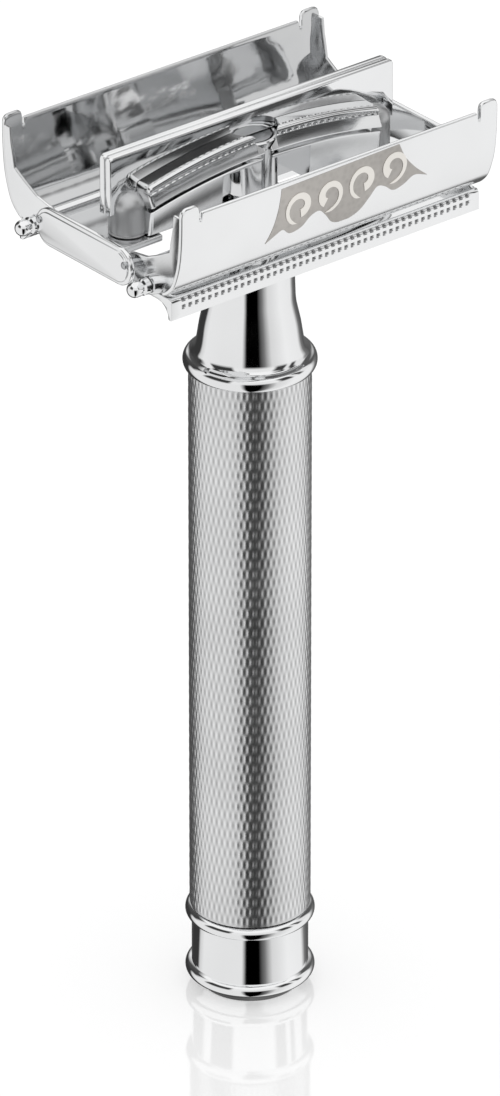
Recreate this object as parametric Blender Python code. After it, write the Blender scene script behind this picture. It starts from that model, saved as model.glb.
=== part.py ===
"""Twist-to-open double-edge safety razor, modelled with its doors standing open.

The origin is the centre of the knob's foot. +Z runs up the handle, +X along the head,
and -Y is the front, the side of the ornamented door. Lengths are in metres.
"""

import math

import bmesh
import bpy
from mathutils import Matrix, Vector

MM = 0.001

# Handle
TUBE_RADIUS = 6.7 * MM
TUBE_BORE = 5.6 * MM
TUBE_BOTTOM = 10.05 * MM
TUBE_TOP = 76.2 * MM
NECK_TOP = 94.7 * MM
NECK_FLARE = (
    (4.86, 94.7), (4.84, 88.0), (4.88, 85.7), (5.0, 83.8), (5.56, 81.4), (5.87, 79.0), (6.2, 78.3),
)
NECK_FOOT_RADIUS = 6.9 * MM
BEAD_CENTRE = (6.0 * MM, 77.1 * MM)
BEAD_RADIUS = 1.3 * MM
SPIGOT_LENGTH = 8.2 * MM
ROD_CHANNEL = 2.1 * MM
HUB_SOCKET_BOTTOM = 90.8 * MM
GUIDE_BUSH_RADIUS = 3.6 * MM
GUIDE_BUSH_LENGTH = 4.9 * MM
KNOB_BEARING = (10.6 * MM, 14.4 * MM)
WASHER_BORE = 3.45 * MM
THRUST_WASHER_RADIUS = 5.4 * MM
THRUST_WASHER = (10.07 * MM, 10.47 * MM)
SPRING_WASHER_RADIUS = 5.2 * MM
SPRING_WASHER = (14.5 * MM, 15.05 * MM)
SPRING_WASHER_THICKNESS = 0.25 * MM

# Knob
KNOB_HEIGHT = 9.9 * MM
KNOB_RING_RADIUS = 7.16 * MM
KNOB_RING_SECTION = 0.75 * MM
KNOB_LOWER_RING_Z = 1.96 * MM
KNOB_UPPER_RING_Z = 9.12 * MM
KNOB_WAIST_RADIUS = 6.45 * MM
KNOB_WAIST = (2.9 * MM, 8.2 * MM)
KNOB_FOOT_FLARE = ((6.3, 0.95), (5.6, 0.35))
KNOB_FOOT_RADIUS = 5.15 * MM
STEM_RADIUS = 3.3 * MM
STEM_BOTTOM = 2.5 * MM
STEM_TOP = 16.8 * MM
CLIP_GROOVE = (15.2 * MM, 16.0 * MM)
CLIP_GROOVE_DEPTH = 0.4 * MM
CLIP_RADIUS = 4.9 * MM
PLUG_RADIUS = 4.1 * MM
PLUG_TOP = 2.1 * MM

# Drive rod: one turn of the knob draws it down by its lead
ROD_RADIUS = 1.8 * MM
ROD_BOTTOM = 8.6 * MM
ROD_SHOULDER = 103.2 * MM
ROD_TOP = 103.75 * MM
ROD_HEAD_RADIUS = 2.35 * MM
THREAD_TOP = 23.0 * MM
THREAD_DEPTH = 0.3 * MM
THREAD_STARTS = 2
THREAD_RUNOUT = 2 * MM
CARRIAGE_TRAVEL = 6.1 * MM
KNOB_TURNS_TO_CLOSE = 1.5
THREAD_LEAD = CARRIAGE_TRAVEL / KNOB_TURNS_TO_CLOSE

# Guard
GUARD_HALF_LENGTH = 21.25 * MM
GUARD_HALF_WIDTH = 12.88 * MM
GUARD_FLOOR_TOP = 95.44 * MM
GUARD_FLOOR_BOTTOM = 94.79 * MM
GUARD_RAIL_BOTTOM = 93.0 * MM
GUARD_RAIL_FOOT = 0.55 * MM
GUARD_RAIL_CHAMFER = ((1.08 * MM, 94.3 * MM), (0.58 * MM, 93.6 * MM))
GUARD_RAIL_ROOT = 2.3 * MM
GUARD_BRIDGE_HALF_LENGTH = 5.6 * MM
GUARD_SLOT_HALF_WIDTH = 3.3 * MM
GUARD_CORNER_RADIUS = 0.6 * MM
HUB_HOLE_RADIUS = 3.25 * MM
COMB_PITCH = 0.89 * MM
COMB_GROOVES = 45
COMB_GROOVE_WIDTH = 0.4 * MM
COMB_GROOVE_DEPTH = 0.3 * MM

# Carriage: a standard double-edge blade is 43 mm long and 22 mm wide
HUB_RADIUS = 2.95 * MM
HUB_BOTTOM = 97.4 * MM
HUB_TOP = 103.8 * MM
BED_HALF_WIDTH = 2.7 * MM
BED_TOP_AT_HUB = 104.95 * MM
BED_ARCH_DROP = 1.9 * MM
BED_ARCH_END = 16.0 * MM
BED_SHOULDER_RADIUS = 3.0 * MM
BED_END = 18.9 * MM
BED_DEPTH = 3.1 * MM
WEB_START = 6.0 * MM
RAIL_GAP = 0.8 * MM
POST_X = 16.8 * MM
POST_RADIUS = 2.1 * MM
SPINE_HALF_LENGTH = 19.55 * MM
SPINE_Y = (-0.5 * MM, 1.35 * MM)
SPINE_TOP = 106.8 * MM
SPINE_SINK = 1.0 * MM
SPINE_LEG_INNER = 17.4 * MM
SPINE_LEG_FOOT = 100.0 * MM
SPINE_CORNER = (0.3 * MM, 0.5 * MM)
CAP_INNER = 22.2 * MM
CAP_OUTER = 23.05 * MM
CAP_CENTRE_Z = 97.4 * MM
CAP_END_Y = 5.85 * MM
CAP_END_RADIUS = 2.2 * MM
CAP_TONGUE_X = 14.3 * MM
CAP_TONGUE_HALF_WIDTH = 2.9 * MM
CAP_TONGUE_THICKNESS = 0.8 * MM

# Doors
DOOR_HALF_LENGTH = 21.75 * MM
DOOR_THICKNESS = 0.55 * MM
DOOR_FACE = ((15.3, 107.0), (15.3, 105.0), (15.2, 102.6), (14.95, 100.5), (14.5, 98.8))
DOOR_CURL = ((13.85, 97.3), (12.95, 96.25), (11.9, 95.6))
FLAP_INNER = 21.35 * MM
FLANGE_TOP = 106.0 * MM
FLANGE_WIDTH = 1.2 * MM
FLANGE_ROOT = 102.6 * MM
EAR_EDGE = ((13.1, 101.4), (9.3, 99.5))
EAR_RADIUS = 1.1 * MM
PIVOT_Y = 7.2 * MM
PIVOT_Z = 98.0 * MM
HINGE_PIN_RADIUS = 0.45 * MM
HINGE_PIN_PROUD = 0.25 * MM
PIN_FIT = 0.05 * MM
FLAP_FIT = 0.08 * MM
PEG_Y = 9.5 * MM
PEG_Z = 96.2 * MM
PEG_RADIUS = 0.95 * MM
PEG_TIP = 24.3 * MM
PEG_SHANK_RADIUS = 0.42 * MM
PEG_CHAMFER = 0.25 * MM
RIVET_PROUD = 0.05 * MM
DOOR_EDGE_Z = 106.0 * MM
DOOR_TAB_LENGTH = 2.4 * MM
DOOR_NOTCH_WIDTH = 0.4 * MM
DOOR_NOTCH_DEPTH = 0.9 * MM

RUNNING_GAP = 0.1 * MM
REST_GAP = 0.1 * MM
FINE_SEGMENTS = 48
COARSE_SEGMENTS = 24
PEG_SEGMENTS = 16


# ---------------------------------------------------------------- materials


def make_material(name, colour, metallic, roughness):
    material = bpy.data.materials.new(name)
    material.use_nodes = True
    shader = material.node_tree.nodes["Principled BSDF"]
    shader.inputs["Base Color"].default_value = (*colour, 1.0)
    shader.inputs["Metallic"].default_value = metallic
    shader.inputs["Roughness"].default_value = roughness
    material.diffuse_color = (*colour, 1.0)
    return material


# ---------------------------------------------------------------- shape helpers


def mm(*pairs):
    """Pairs given in millimetres, as metres."""
    return [(a * MM, b * MM) for a, b in pairs]


def arc(centre, radius, start, end, steps):
    """Points along an arc, with its angles in degrees."""
    angles = [math.radians(start + (end - start) * i / steps) for i in range(steps + 1)]
    return [(centre[0] + radius * math.cos(a), centre[1] + radius * math.sin(a)) for a in angles]


def mirrored(half):
    """A half outline and its mirror image about the second axis, as one closed outline."""
    return half + [(-a, b) for a, b in reversed(half)]


def new_object(name, bm, material=None):
    bmesh.ops.recalc_face_normals(bm, faces=bm.faces)
    mesh = bpy.data.meshes.new(name)
    bm.to_mesh(mesh)
    bm.free()
    mesh.shade_smooth()
    mesh.set_sharp_from_angle(angle=math.radians(35))
    if material:
        mesh.materials.append(material)
    obj = bpy.data.objects.new(name, mesh)
    bpy.context.scene.collection.objects.link(obj)
    return obj


def prism(name, outline, axis, start, end, material=None):
    """A closed outline swept along X, Y or Z. It is given in the other two axes, in XYZ order."""
    place = {
        "X": lambda p: (start, p[0], p[1]),
        "Y": lambda p: (p[0], start, p[1]),
        "Z": lambda p: (p[0], p[1], start),
    }[axis]
    sweep = Vector([(end - start) * (axis == letter) for letter in "XYZ"])
    bm = bmesh.new()
    base = bm.faces.new([bm.verts.new(place(point)) for point in outline])
    swept = bmesh.ops.extrude_face_region(bm, geom=[base], use_keep_orig=True)
    moved = [item for item in swept["geom"] if isinstance(item, bmesh.types.BMVert)]
    bmesh.ops.translate(bm, verts=moved, vec=sweep)
    return new_object(name, bm, material)


def turned(name, outline, segments, material=None, centre=(0.0, 0.0), closed=True):
    """A radius and height outline spun about a vertical axis. An open one starts and ends on it."""
    bm = bmesh.new()
    points = [bm.verts.new((radius, 0.0, height)) for radius, height in outline]
    pairs = list(zip(points, points[1:])) + ([(points[-1], points[0])] if closed else [])
    edges = [bm.edges.new(pair) for pair in pairs]
    bmesh.ops.spin(
        bm, geom=points + edges, axis=(0, 0, 1), cent=(0, 0, 0),
        steps=segments, angle=math.tau, use_duplicate=False,
    )
    bmesh.ops.remove_doubles(bm, verts=bm.verts, dist=1e-6)
    bmesh.ops.translate(bm, verts=bm.verts, vec=(centre[0], centre[1], 0.0))
    return new_object(name, bm, material)


def rod_along_x(name, radius, start, end, y, z, segments, material=None):
    circle = arc((y, z), radius, 0, 360 - 360 / segments, segments - 1)
    return prism(name, circle, "X", start, end, material)


def box(name, low, high, material=None):
    outline = [(low[0], low[1]), (high[0], low[1]), (high[0], high[1]), (low[0], high[1])]
    return prism(name, outline, "Z", low[2], high[2], material)


def combine(target, helper, operation):
    modifier = target.modifiers.new(helper.name, "BOOLEAN")
    modifier.object = helper
    modifier.operation = operation
    modifier.solver = "EXACT"
    helper.hide_render = True
    helper.display_type = "WIRE"


def axis_empty(name, location):
    empty = bpy.data.objects.new(name, None)
    empty.empty_display_size = 4 * MM
    empty.location = location
    bpy.context.scene.collection.objects.link(empty)
    return empty


def carry(empty, *pieces):
    """Parents the pieces to an empty on their joint's axis, and leaves them where they are."""
    for piece in pieces:
        piece.parent = empty
        piece.matrix_parent_inverse = Matrix.Translation(-empty.location)


# ---------------------------------------------------------------- handle


def build_handle(chrome, brass, steel):
    turned(
        "handle_tube",
        [
            (TUBE_RADIUS, TUBE_TOP), (TUBE_RADIUS, TUBE_BOTTOM),
            (TUBE_BORE, TUBE_BOTTOM), (TUBE_BORE, TUBE_TOP),
        ],
        FINE_SEGMENTS, chrome,
    )

    collar_bottom = TUBE_TOP + REST_GAP
    spigot_bottom = TUBE_TOP - SPIGOT_LENGTH
    bush_seat = spigot_bottom + GUIDE_BUSH_LENGTH + REST_GAP
    bush_socket = GUIDE_BUSH_RADIUS + RUNNING_GAP
    bead = arc(BEAD_CENTRE, BEAD_RADIUS, 55, -38, 5)
    neck = mm(*NECK_FLARE) + bead + [
        (NECK_FOOT_RADIUS, collar_bottom),
        (TUBE_BORE - RUNNING_GAP, collar_bottom),
        (TUBE_BORE - RUNNING_GAP, spigot_bottom),
        (bush_socket, spigot_bottom),
        (bush_socket, bush_seat),
        (ROD_CHANNEL, bush_seat),
        (ROD_CHANNEL, HUB_SOCKET_BOTTOM),
        (HUB_HOLE_RADIUS, HUB_SOCKET_BOTTOM),
        (HUB_HOLE_RADIUS, NECK_TOP),
    ]
    turned("neck_collar", neck, FINE_SEGMENTS, chrome)

    build_ring("rod_guide_bush", GUIDE_BUSH_RADIUS, ROD_RADIUS + RUNNING_GAP,
               (spigot_bottom, spigot_bottom + GUIDE_BUSH_LENGTH), brass)
    build_ring("knob_bearing_bush", TUBE_BORE - RUNNING_GAP, STEM_RADIUS + RUNNING_GAP, KNOB_BEARING, brass)
    build_ring("thrust_washer", THRUST_WASHER_RADIUS, WASHER_BORE, THRUST_WASHER, steel)
    bottom, top = SPRING_WASHER
    turned(
        "spring_washer",
        [
            (SPRING_WASHER_RADIUS, bottom + SPRING_WASHER_THICKNESS), (SPRING_WASHER_RADIUS, bottom),
            (WASHER_BORE, top - SPRING_WASHER_THICKNESS), (WASHER_BORE, top),
        ],
        COARSE_SEGMENTS, steel,
    )


def build_ring(name, radius, bore, heights, material):
    bottom, top = heights
    outline = [(radius, top), (radius, bottom), (bore, bottom), (bore, top)]
    return turned(name, outline, COARSE_SEGMENTS, material)


def build_guard(chrome):
    """A slotted floor between two rails, with a comb along the rails' outer corners."""
    half = [(GUARD_HALF_WIDTH - inset, z) for inset, z in GUARD_RAIL_CHAMFER]
    half += [(GUARD_HALF_WIDTH - GUARD_RAIL_FOOT, GUARD_RAIL_BOTTOM), (GUARD_HALF_WIDTH, GUARD_RAIL_BOTTOM)]
    corner_centre = (GUARD_HALF_WIDTH - GUARD_CORNER_RADIUS, GUARD_FLOOR_TOP - GUARD_CORNER_RADIUS)
    corner = arc(corner_centre, GUARD_CORNER_RADIUS, 0, 90, 4)
    right = [(GUARD_HALF_WIDTH - GUARD_RAIL_ROOT, GUARD_FLOOR_BOTTOM)] + half + corner
    guard = prism("guard_plate", mirrored(right), "X", -GUARD_HALF_LENGTH, GUARD_HALF_LENGTH, chrome)

    for side in (-1, 1):
        near, far = sorted((side * GUARD_BRIDGE_HALF_LENGTH, side * (GUARD_HALF_LENGTH + MM)))
        slot = box(
            f"guard_slot_cutter_{side}",
            (near, -GUARD_SLOT_HALF_WIDTH, GUARD_RAIL_BOTTOM),
            (far, GUARD_SLOT_HALF_WIDTH, GUARD_FLOOR_TOP + MM),
        )
        combine(guard, slot, "DIFFERENCE")
    top, bottom = GUARD_FLOOR_TOP + MM, GUARD_RAIL_BOTTOM
    hole = turned(
        "guard_hub_hole_cutter",
        [(0.0, top), (HUB_HOLE_RADIUS, top), (HUB_HOLE_RADIUS, bottom), (0.0, bottom)],
        FINE_SEGMENTS, closed=False,
    )
    combine(guard, hole, "DIFFERENCE")
    combine(guard, comb_cutter(), "DIFFERENCE")


def comb_cutter():
    """A row of narrow blocks that grooves the outer corner of both rails."""
    bm = bmesh.new()
    for groove in range(COMB_GROOVES):
        x = (groove - (COMB_GROOVES - 1) / 2) * COMB_PITCH
        for side in (-1, 1):
            centre = (x, side * GUARD_HALF_WIDTH, GUARD_FLOOR_TOP)
            turn = Matrix.Rotation(math.radians(45), 4, "X")
            reach = 2 * (GUARD_CORNER_RADIUS * (math.sqrt(2) - 1) + COMB_GROOVE_DEPTH)
            size = Matrix.Diagonal((COMB_GROOVE_WIDTH, reach, reach, 1.0))
            bmesh.ops.create_cube(bm, size=1.0, matrix=Matrix.Translation(centre) @ turn @ size)
    return new_object("comb_cutter", bm)


# ---------------------------------------------------------------- knob


def build_knob(chrome, brass, steel):
    ring_centre = KNOB_RING_RADIUS - KNOB_RING_SECTION
    lower_ring = arc((ring_centre, KNOB_LOWER_RING_Z), KNOB_RING_SECTION, 62, -62, 6)
    upper_ring = arc((ring_centre, KNOB_UPPER_RING_Z), KNOB_RING_SECTION, 62, -62, 6)
    waist_bottom, waist_top = KNOB_WAIST
    cavity = STEM_RADIUS + RUNNING_GAP
    plug_seat = PLUG_RADIUS + RUNNING_GAP
    outline = (
        [(KNOB_RING_RADIUS - 0.6 * MM, KNOB_HEIGHT)]
        + upper_ring
        + [(KNOB_WAIST_RADIUS, waist_top), (KNOB_WAIST_RADIUS, waist_bottom)]
        + lower_ring
        + mm(*KNOB_FOOT_FLARE)
        + [(KNOB_FOOT_RADIUS, 0.0), (plug_seat, 0.0), (plug_seat, STEM_BOTTOM - REST_GAP)]
        + [(cavity, STEM_BOTTOM - REST_GAP), (cavity, KNOB_HEIGHT)]
    )
    knob = turned("twist_knob", outline, FINE_SEGMENTS, chrome)

    bore = ROD_RADIUS + RUNNING_GAP
    groove_bottom, groove_top = CLIP_GROOVE
    groove_radius = STEM_RADIUS - CLIP_GROOVE_DEPTH
    stem = turned(
        "threaded_stem",
        [
            (STEM_RADIUS, STEM_TOP), (STEM_RADIUS, groove_top), (groove_radius, groove_top),
            (groove_radius, groove_bottom), (STEM_RADIUS, groove_bottom), (STEM_RADIUS, STEM_BOTTOM),
            (bore, STEM_BOTTOM), (bore, STEM_TOP),
        ],
        COARSE_SEGMENTS, brass,
    )
    plug = turned(
        "knob_foot_plug",
        [(0.0, PLUG_TOP), (PLUG_RADIUS, PLUG_TOP), (PLUG_RADIUS, 0.0), (0.0, 0.0)],
        COARSE_SEGMENTS, chrome, closed=False,
    )
    clip_bore = groove_radius + RUNNING_GAP
    outer = arc((0.0, 0.0), CLIP_RADIUS, 35, 325, 20)
    inner = arc((0.0, 0.0), clip_bore, 325, 35, 20)
    heights = (groove_bottom + REST_GAP, groove_top - REST_GAP)
    clip = prism("retaining_clip", outer + inner, "Z", *heights, steel)

    knob_axis = axis_empty("knob_axis", (0.0, 0.0, 0.0))
    carry(knob_axis, knob, stem, plug, clip)


# ---------------------------------------------------------------- carriage


def thread_radius(angle, height):
    """Right-hand triangular thread, which fades out at its top."""
    turn = (angle / math.tau - (height - ROD_BOTTOM) / THREAD_LEAD) * THREAD_STARTS
    ridge = abs(2 * (turn % 1.0) - 1)
    fade = min(1.0, (THREAD_TOP - height) / THREAD_RUNOUT)
    return ROD_RADIUS - THREAD_DEPTH * fade * (1 - ridge)


def build_drive_rod(steel):
    columns, rows = 16, 30
    heights = [ROD_BOTTOM + (THREAD_TOP - ROD_BOTTOM) * row / rows for row in range(rows + 1)]
    rings = [[(thread_radius(math.tau * c / columns, z), z) for c in range(columns)] for z in heights]
    head = [(ROD_RADIUS, ROD_SHOULDER), (ROD_HEAD_RADIUS, ROD_SHOULDER), (ROD_HEAD_RADIUS, ROD_TOP)]
    for radius, z in head:
        rings.append([(radius, z)] * columns)

    bm = bmesh.new()
    grid = [
        [
            bm.verts.new((r * math.cos(math.tau * c / columns), r * math.sin(math.tau * c / columns), z))
            for c, (r, z) in enumerate(ring)
        ]
        for ring in rings
    ]
    for lower, upper in zip(grid, grid[1:]):
        for c in range(columns):
            after = (c + 1) % columns
            bm.faces.new((lower[c], lower[after], upper[after], upper[c]))
    bm.faces.new(grid[0])
    bm.faces.new(grid[-1])
    return new_object("drive_rod", bm, steel)


def build_hub(chrome):
    bore = ROD_RADIUS + RUNNING_GAP
    head_seat = ROD_HEAD_RADIUS + RUNNING_GAP
    seat_bottom = ROD_SHOULDER - REST_GAP
    outline = [
        (HUB_RADIUS, HUB_TOP), (HUB_RADIUS, HUB_BOTTOM), (bore, HUB_BOTTOM),
        (bore, seat_bottom), (head_seat, seat_bottom), (head_seat, HUB_TOP),
    ]
    return turned("hub_post", outline, COARSE_SEGMENTS, chrome)


def bed_height(x):
    return BED_TOP_AT_HUB - BED_ARCH_DROP * (x / BED_ARCH_END) ** 2


def bed_arch():
    """The bed's top line from the hub to where its shoulder starts."""
    steps = 6
    stations = [BED_ARCH_END * i / steps for i in range(steps + 1)]
    return [(x, bed_height(x)) for x in stations]


def build_bed_rails(chrome):
    """The blade lies across two arched rails, one each side of the hub."""
    arch = bed_arch()
    shoulder_centre = (BED_END - BED_SHOULDER_RADIUS, bed_height(BED_ARCH_END) - BED_SHOULDER_RADIUS)
    shoulder = arc(shoulder_centre, BED_SHOULDER_RADIUS, 85, 0, 6)
    # Under the bed a web fills the space from the guard's bridge out to the post.
    underside = bed_height(BED_ARCH_END) - BED_DEPTH
    web_end = POST_X - POST_RADIUS - REST_GAP
    web_root = bed_height(WEB_START) - BED_DEPTH
    web = [(BED_END, underside), (web_end, underside), (web_end, HUB_BOTTOM)]
    web += [(WEB_START, HUB_BOTTOM), (WEB_START, web_root), (0.0, web_root)]
    outline = arch + shoulder + web
    below, above = HUB_BOTTOM, SPINE_TOP
    leg_side = SPINE_LEG_INNER - REST_GAP
    clear_end = BED_END + MM
    floor = [(x, z - SPINE_SINK - REST_GAP) for x, z in arch[1:]]
    ends = [(leg_side, floor[-1][1]), (leg_side, below), (clear_end, below), (clear_end, above)]
    slot_outline = mirrored(floor + ends)
    slot = prism("spine_slot_cutter", slot_outline, "Y", SPINE_Y[0] - REST_GAP, SPINE_Y[1] + REST_GAP)
    socket = HUB_RADIUS + REST_GAP
    hub_cutter = turned(
        "bed_hub_cutter",
        [(0.0, above), (socket, above), (socket, below), (0.0, below)],
        COARSE_SEGMENTS, closed=False,
    )
    rails = []
    for side, label in ((-1, "left"), (1, "right")):
        half = [(side * max(x, RAIL_GAP / 2), z) for x, z in outline]
        rail = prism(f"{label}_bed_rail", half, "Y", -BED_HALF_WIDTH, BED_HALF_WIDTH, chrome)
        combine(rail, slot, "DIFFERENCE")
        combine(rail, hub_cutter, "DIFFERENCE")
        rails.append(rail)
    return rails


def build_bed_posts(chrome):
    top = bed_height(BED_ARCH_END) - BED_DEPTH - REST_GAP
    outline = [(0.0, top), (POST_RADIUS, top), (POST_RADIUS, HUB_BOTTOM), (0.0, HUB_BOTTOM)]
    return [
        turned(f"{label}_bed_post", outline, COARSE_SEGMENTS, chrome, (side * POST_X, 0.0), closed=False)
        for side, label in ((-1, "left"), (1, "right"))
    ]


def build_spine(chrome):
    """A folded strip let into both rails, with a leg down over each end of the bed."""
    seat = [(x, z - SPINE_SINK) for x, z in bed_arch()[1:]]
    corner_x, corner_z = SPINE_CORNER
    half = seat + [
        (SPINE_LEG_INNER, seat[-1][1]), (SPINE_LEG_INNER, SPINE_LEG_FOOT),
        (SPINE_HALF_LENGTH, SPINE_LEG_FOOT), (SPINE_HALF_LENGTH, SPINE_TOP - corner_z),
        (SPINE_HALF_LENGTH - corner_x, SPINE_TOP),
    ]
    return prism("center_spine", mirrored(half), "Y", *SPINE_Y, chrome)


def cap_outline():
    right = arc((CAP_END_Y, CAP_CENTRE_Z), CAP_END_RADIUS, -90, 90, 10)
    left = arc((-CAP_END_Y, CAP_CENTRE_Z), CAP_END_RADIUS, 90, 270, 10)
    return right + left


def build_end_caps(chrome):
    caps = []
    tongue_top = HUB_BOTTOM - REST_GAP
    for side, label in ((-1, "left"), (1, "right")):
        inner, outer = side * CAP_INNER, side * CAP_OUTER
        cap = prism(f"{label}_end_cap", cap_outline(), "X", *sorted((inner, outer)), chrome)
        near, far = sorted((side * CAP_TONGUE_X, side * (CAP_INNER + 0.4 * MM)))
        low = (near, -CAP_TONGUE_HALF_WIDTH, tongue_top - CAP_TONGUE_THICKNESS)
        tongue = box(f"{label}_cap_tongue", low, (far, CAP_TONGUE_HALF_WIDTH, tongue_top))
        combine(cap, tongue, "UNION")
        for y in (-PIVOT_Y, PIVOT_Y):
            far_ends = sorted((side * (CAP_INNER - MM), side * (CAP_OUTER + MM)))
            name = f"{label}_cap_pin_cutter_{y > 0}"
            hole = rod_along_x(name, HINGE_PIN_RADIUS + PIN_FIT, *far_ends, y, PIVOT_Z, PEG_SEGMENTS)
            combine(cap, hole, "DIFFERENCE")
        caps.append(cap)
    return caps


def build_hinge_pins(steel):
    pins = []
    for y_side, row in ((-1, "front"), (1, "rear")):
        for x_side, label in ((-1, "left"), (1, "right")):
            ends = sorted((x_side * (FLAP_INNER - RIVET_PROUD), x_side * (CAP_OUTER + HINGE_PIN_PROUD)))
            name = f"{row}_{label}_hinge_pin"
            y = y_side * PIVOT_Y
            pins.append(rod_along_x(name, HINGE_PIN_RADIUS, *ends, y, PIVOT_Z, PEG_SEGMENTS, steel))
    return pins


def build_carriage(chrome, steel):
    pieces = [build_drive_rod(steel), build_hub(chrome), build_spine(chrome)]
    pieces += build_bed_rails(chrome)
    pieces += build_bed_posts(chrome)
    pieces += build_end_caps(chrome)
    pieces += build_hinge_pins(steel)
    carry(axis_empty("carriage_axis", (0.0, 0.0, HUB_BOTTOM)), *pieces)


# ---------------------------------------------------------------- doors


def inset(points, depth):
    """The same line moved to its left by the depth."""
    moved = []
    for i, point in enumerate(points):
        before = Vector(points[max(i - 1, 0)])
        after = Vector(points[min(i + 1, len(points) - 1)])
        along = (after - before).normalized()
        moved.append((point[0] + along.y * depth, point[1] - along.x * depth))
    return moved


def door_section():
    """Half of the cap in section: nearly flat, with its lower edge curled in over the guard."""
    outer = mm(*DOOR_FACE, *DOOR_CURL)
    return outer + inset(outer, DOOR_THICKNESS)[::-1]


def flap_outline():
    """The end flap in section: an ear round the hinge pin, a lobe round the peg and a flange up the end."""
    ear = arc((PIVOT_Y, PIVOT_Z), EAR_RADIUS, 110, 235, 6)
    lobe = arc((PEG_Y, PEG_Z), EAR_RADIUS, 200, 285, 5)
    middle = inset(mm(*DOOR_FACE, *DOOR_CURL), DOOR_THICKNESS / 2)
    back = [(y, z) for y, z in reversed(middle[1:-1])]
    flange_y = middle[0][0] - FLANGE_WIDTH
    flange = [(middle[0][0], FLANGE_TOP), (flange_y, FLANGE_TOP), (flange_y, FLANGE_ROOT)]
    return ear + lobe + back + flange + mm(*EAR_EDGE)


def build_door(side, row, chrome, steel):
    """One half of the cap, with its end flaps, its holes and its two pegs."""
    def to_side(outline):
        return [(side * y, z) for y, z in outline]

    door = prism(f"{row}_door", to_side(door_section()), "X", -DOOR_HALF_LENGTH, DOOR_HALF_LENGTH, chrome)
    for x_side, label in ((-1, "left"), (1, "right")):
        ends = sorted((x_side * FLAP_INNER, x_side * DOOR_HALF_LENGTH))
        combine(door, prism(f"{row}_{label}_flap", to_side(flap_outline()), "X", *ends), "UNION")

    tab = DOOR_HALF_LENGTH - DOOR_TAB_LENGTH
    edge_outline = mirrored([
        (tab - DOOR_NOTCH_WIDTH, DOOR_EDGE_Z), (tab - DOOR_NOTCH_WIDTH, DOOR_EDGE_Z - DOOR_NOTCH_DEPTH),
        (tab, DOOR_EDGE_Z - DOOR_NOTCH_DEPTH), (tab, DOOR_EDGE_Z + 2 * MM),
    ])
    ends = sorted((side * 13 * MM, side * 16 * MM))
    combine(door, prism(f"{row}_door_edge_cutter", edge_outline, "Y", *ends), "DIFFERENCE")
    reach = DOOR_HALF_LENGTH + MM
    for name, radius, y, z in (
        ("hinge_hole", HINGE_PIN_RADIUS + FLAP_FIT, side * PIVOT_Y, PIVOT_Z),
        ("peg_hole", PEG_SHANK_RADIUS + FLAP_FIT, side * PEG_Y, PEG_Z),
    ):
        hole = rod_along_x(f"{row}_{name}_cutter", radius, -reach, reach, y, z, PEG_SEGMENTS)
        combine(door, hole, "DIFFERENCE")

    pieces = [door]
    for x_side, label in ((-1, "left"), (1, "right")):
        pieces.append(build_peg(f"{row}_{label}_door_peg", x_side, side * PEG_Y, steel))
    axis = axis_empty(f"{row}_door_axis", (0.0, side * PIVOT_Y, PIVOT_Z))
    carry(axis, *pieces)


def build_peg(name, x_side, y, steel):
    """A headed peg riveted through the flap's lower corner."""
    seat = DOOR_HALF_LENGTH + 0.05 * MM
    end = FLAP_INNER - RIVET_PROUD
    outline = [(0.0, PEG_TIP), (PEG_RADIUS - PEG_CHAMFER, PEG_TIP), (PEG_RADIUS, PEG_TIP - PEG_CHAMFER)]
    outline += [(PEG_RADIUS, seat), (PEG_SHANK_RADIUS, seat), (PEG_SHANK_RADIUS, end), (0.0, end)]
    peg = turned(name, outline, PEG_SEGMENTS, steel, closed=False)
    # The peg is turned upright, then laid along X with its head outward.
    lay = Matrix.Rotation(math.radians(90 * x_side), 4, "Y")
    peg.data.transform(Matrix.Translation((0.0, y, PEG_Z)) @ lay)
    return peg


# ---------------------------------------------------------------- assembly


def main():
    for obj in list(bpy.data.objects):
        bpy.data.objects.remove(obj, do_unlink=True)

    chrome = make_material("chrome", (0.86, 0.87, 0.88), 1.0, 0.08)
    steel = make_material("steel", (0.62, 0.63, 0.64), 1.0, 0.25)
    brass = make_material("brass", (0.78, 0.6, 0.3), 1.0, 0.3)

    build_handle(chrome, brass, steel)
    build_guard(chrome)
    build_knob(chrome, brass, steel)
    build_carriage(chrome, steel)
    for side, row in ((-1, "front"), (1, "rear")):
        build_door(side, row, chrome, steel)


main()
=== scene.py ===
"""Looks of the twist-to-open safety razor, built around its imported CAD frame. Lengths are in millimetres."""

import math

import bmesh
import bpy
import numpy as np
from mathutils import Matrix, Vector


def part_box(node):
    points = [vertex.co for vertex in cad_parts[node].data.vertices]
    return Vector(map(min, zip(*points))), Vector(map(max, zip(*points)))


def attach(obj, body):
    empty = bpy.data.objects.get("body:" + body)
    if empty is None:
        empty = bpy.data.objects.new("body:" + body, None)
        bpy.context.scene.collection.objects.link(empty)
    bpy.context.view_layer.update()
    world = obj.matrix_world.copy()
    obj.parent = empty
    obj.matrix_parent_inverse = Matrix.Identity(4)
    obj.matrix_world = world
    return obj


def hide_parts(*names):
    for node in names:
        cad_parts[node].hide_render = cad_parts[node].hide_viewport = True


MM = 0.001
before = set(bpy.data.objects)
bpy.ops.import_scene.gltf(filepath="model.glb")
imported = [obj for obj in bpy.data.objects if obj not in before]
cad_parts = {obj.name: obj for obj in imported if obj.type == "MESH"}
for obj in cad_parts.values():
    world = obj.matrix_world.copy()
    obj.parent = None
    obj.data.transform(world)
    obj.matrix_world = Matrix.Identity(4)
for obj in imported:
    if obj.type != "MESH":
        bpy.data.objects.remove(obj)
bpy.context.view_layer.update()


def span(node, axis):
    """Lowest and highest place of a CAD node along an axis, in millimetres."""
    low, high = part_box(node)
    return low[axis] / MM, high[axis] / MM


# ------------------------------------------------------------ places taken from the frame

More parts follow.
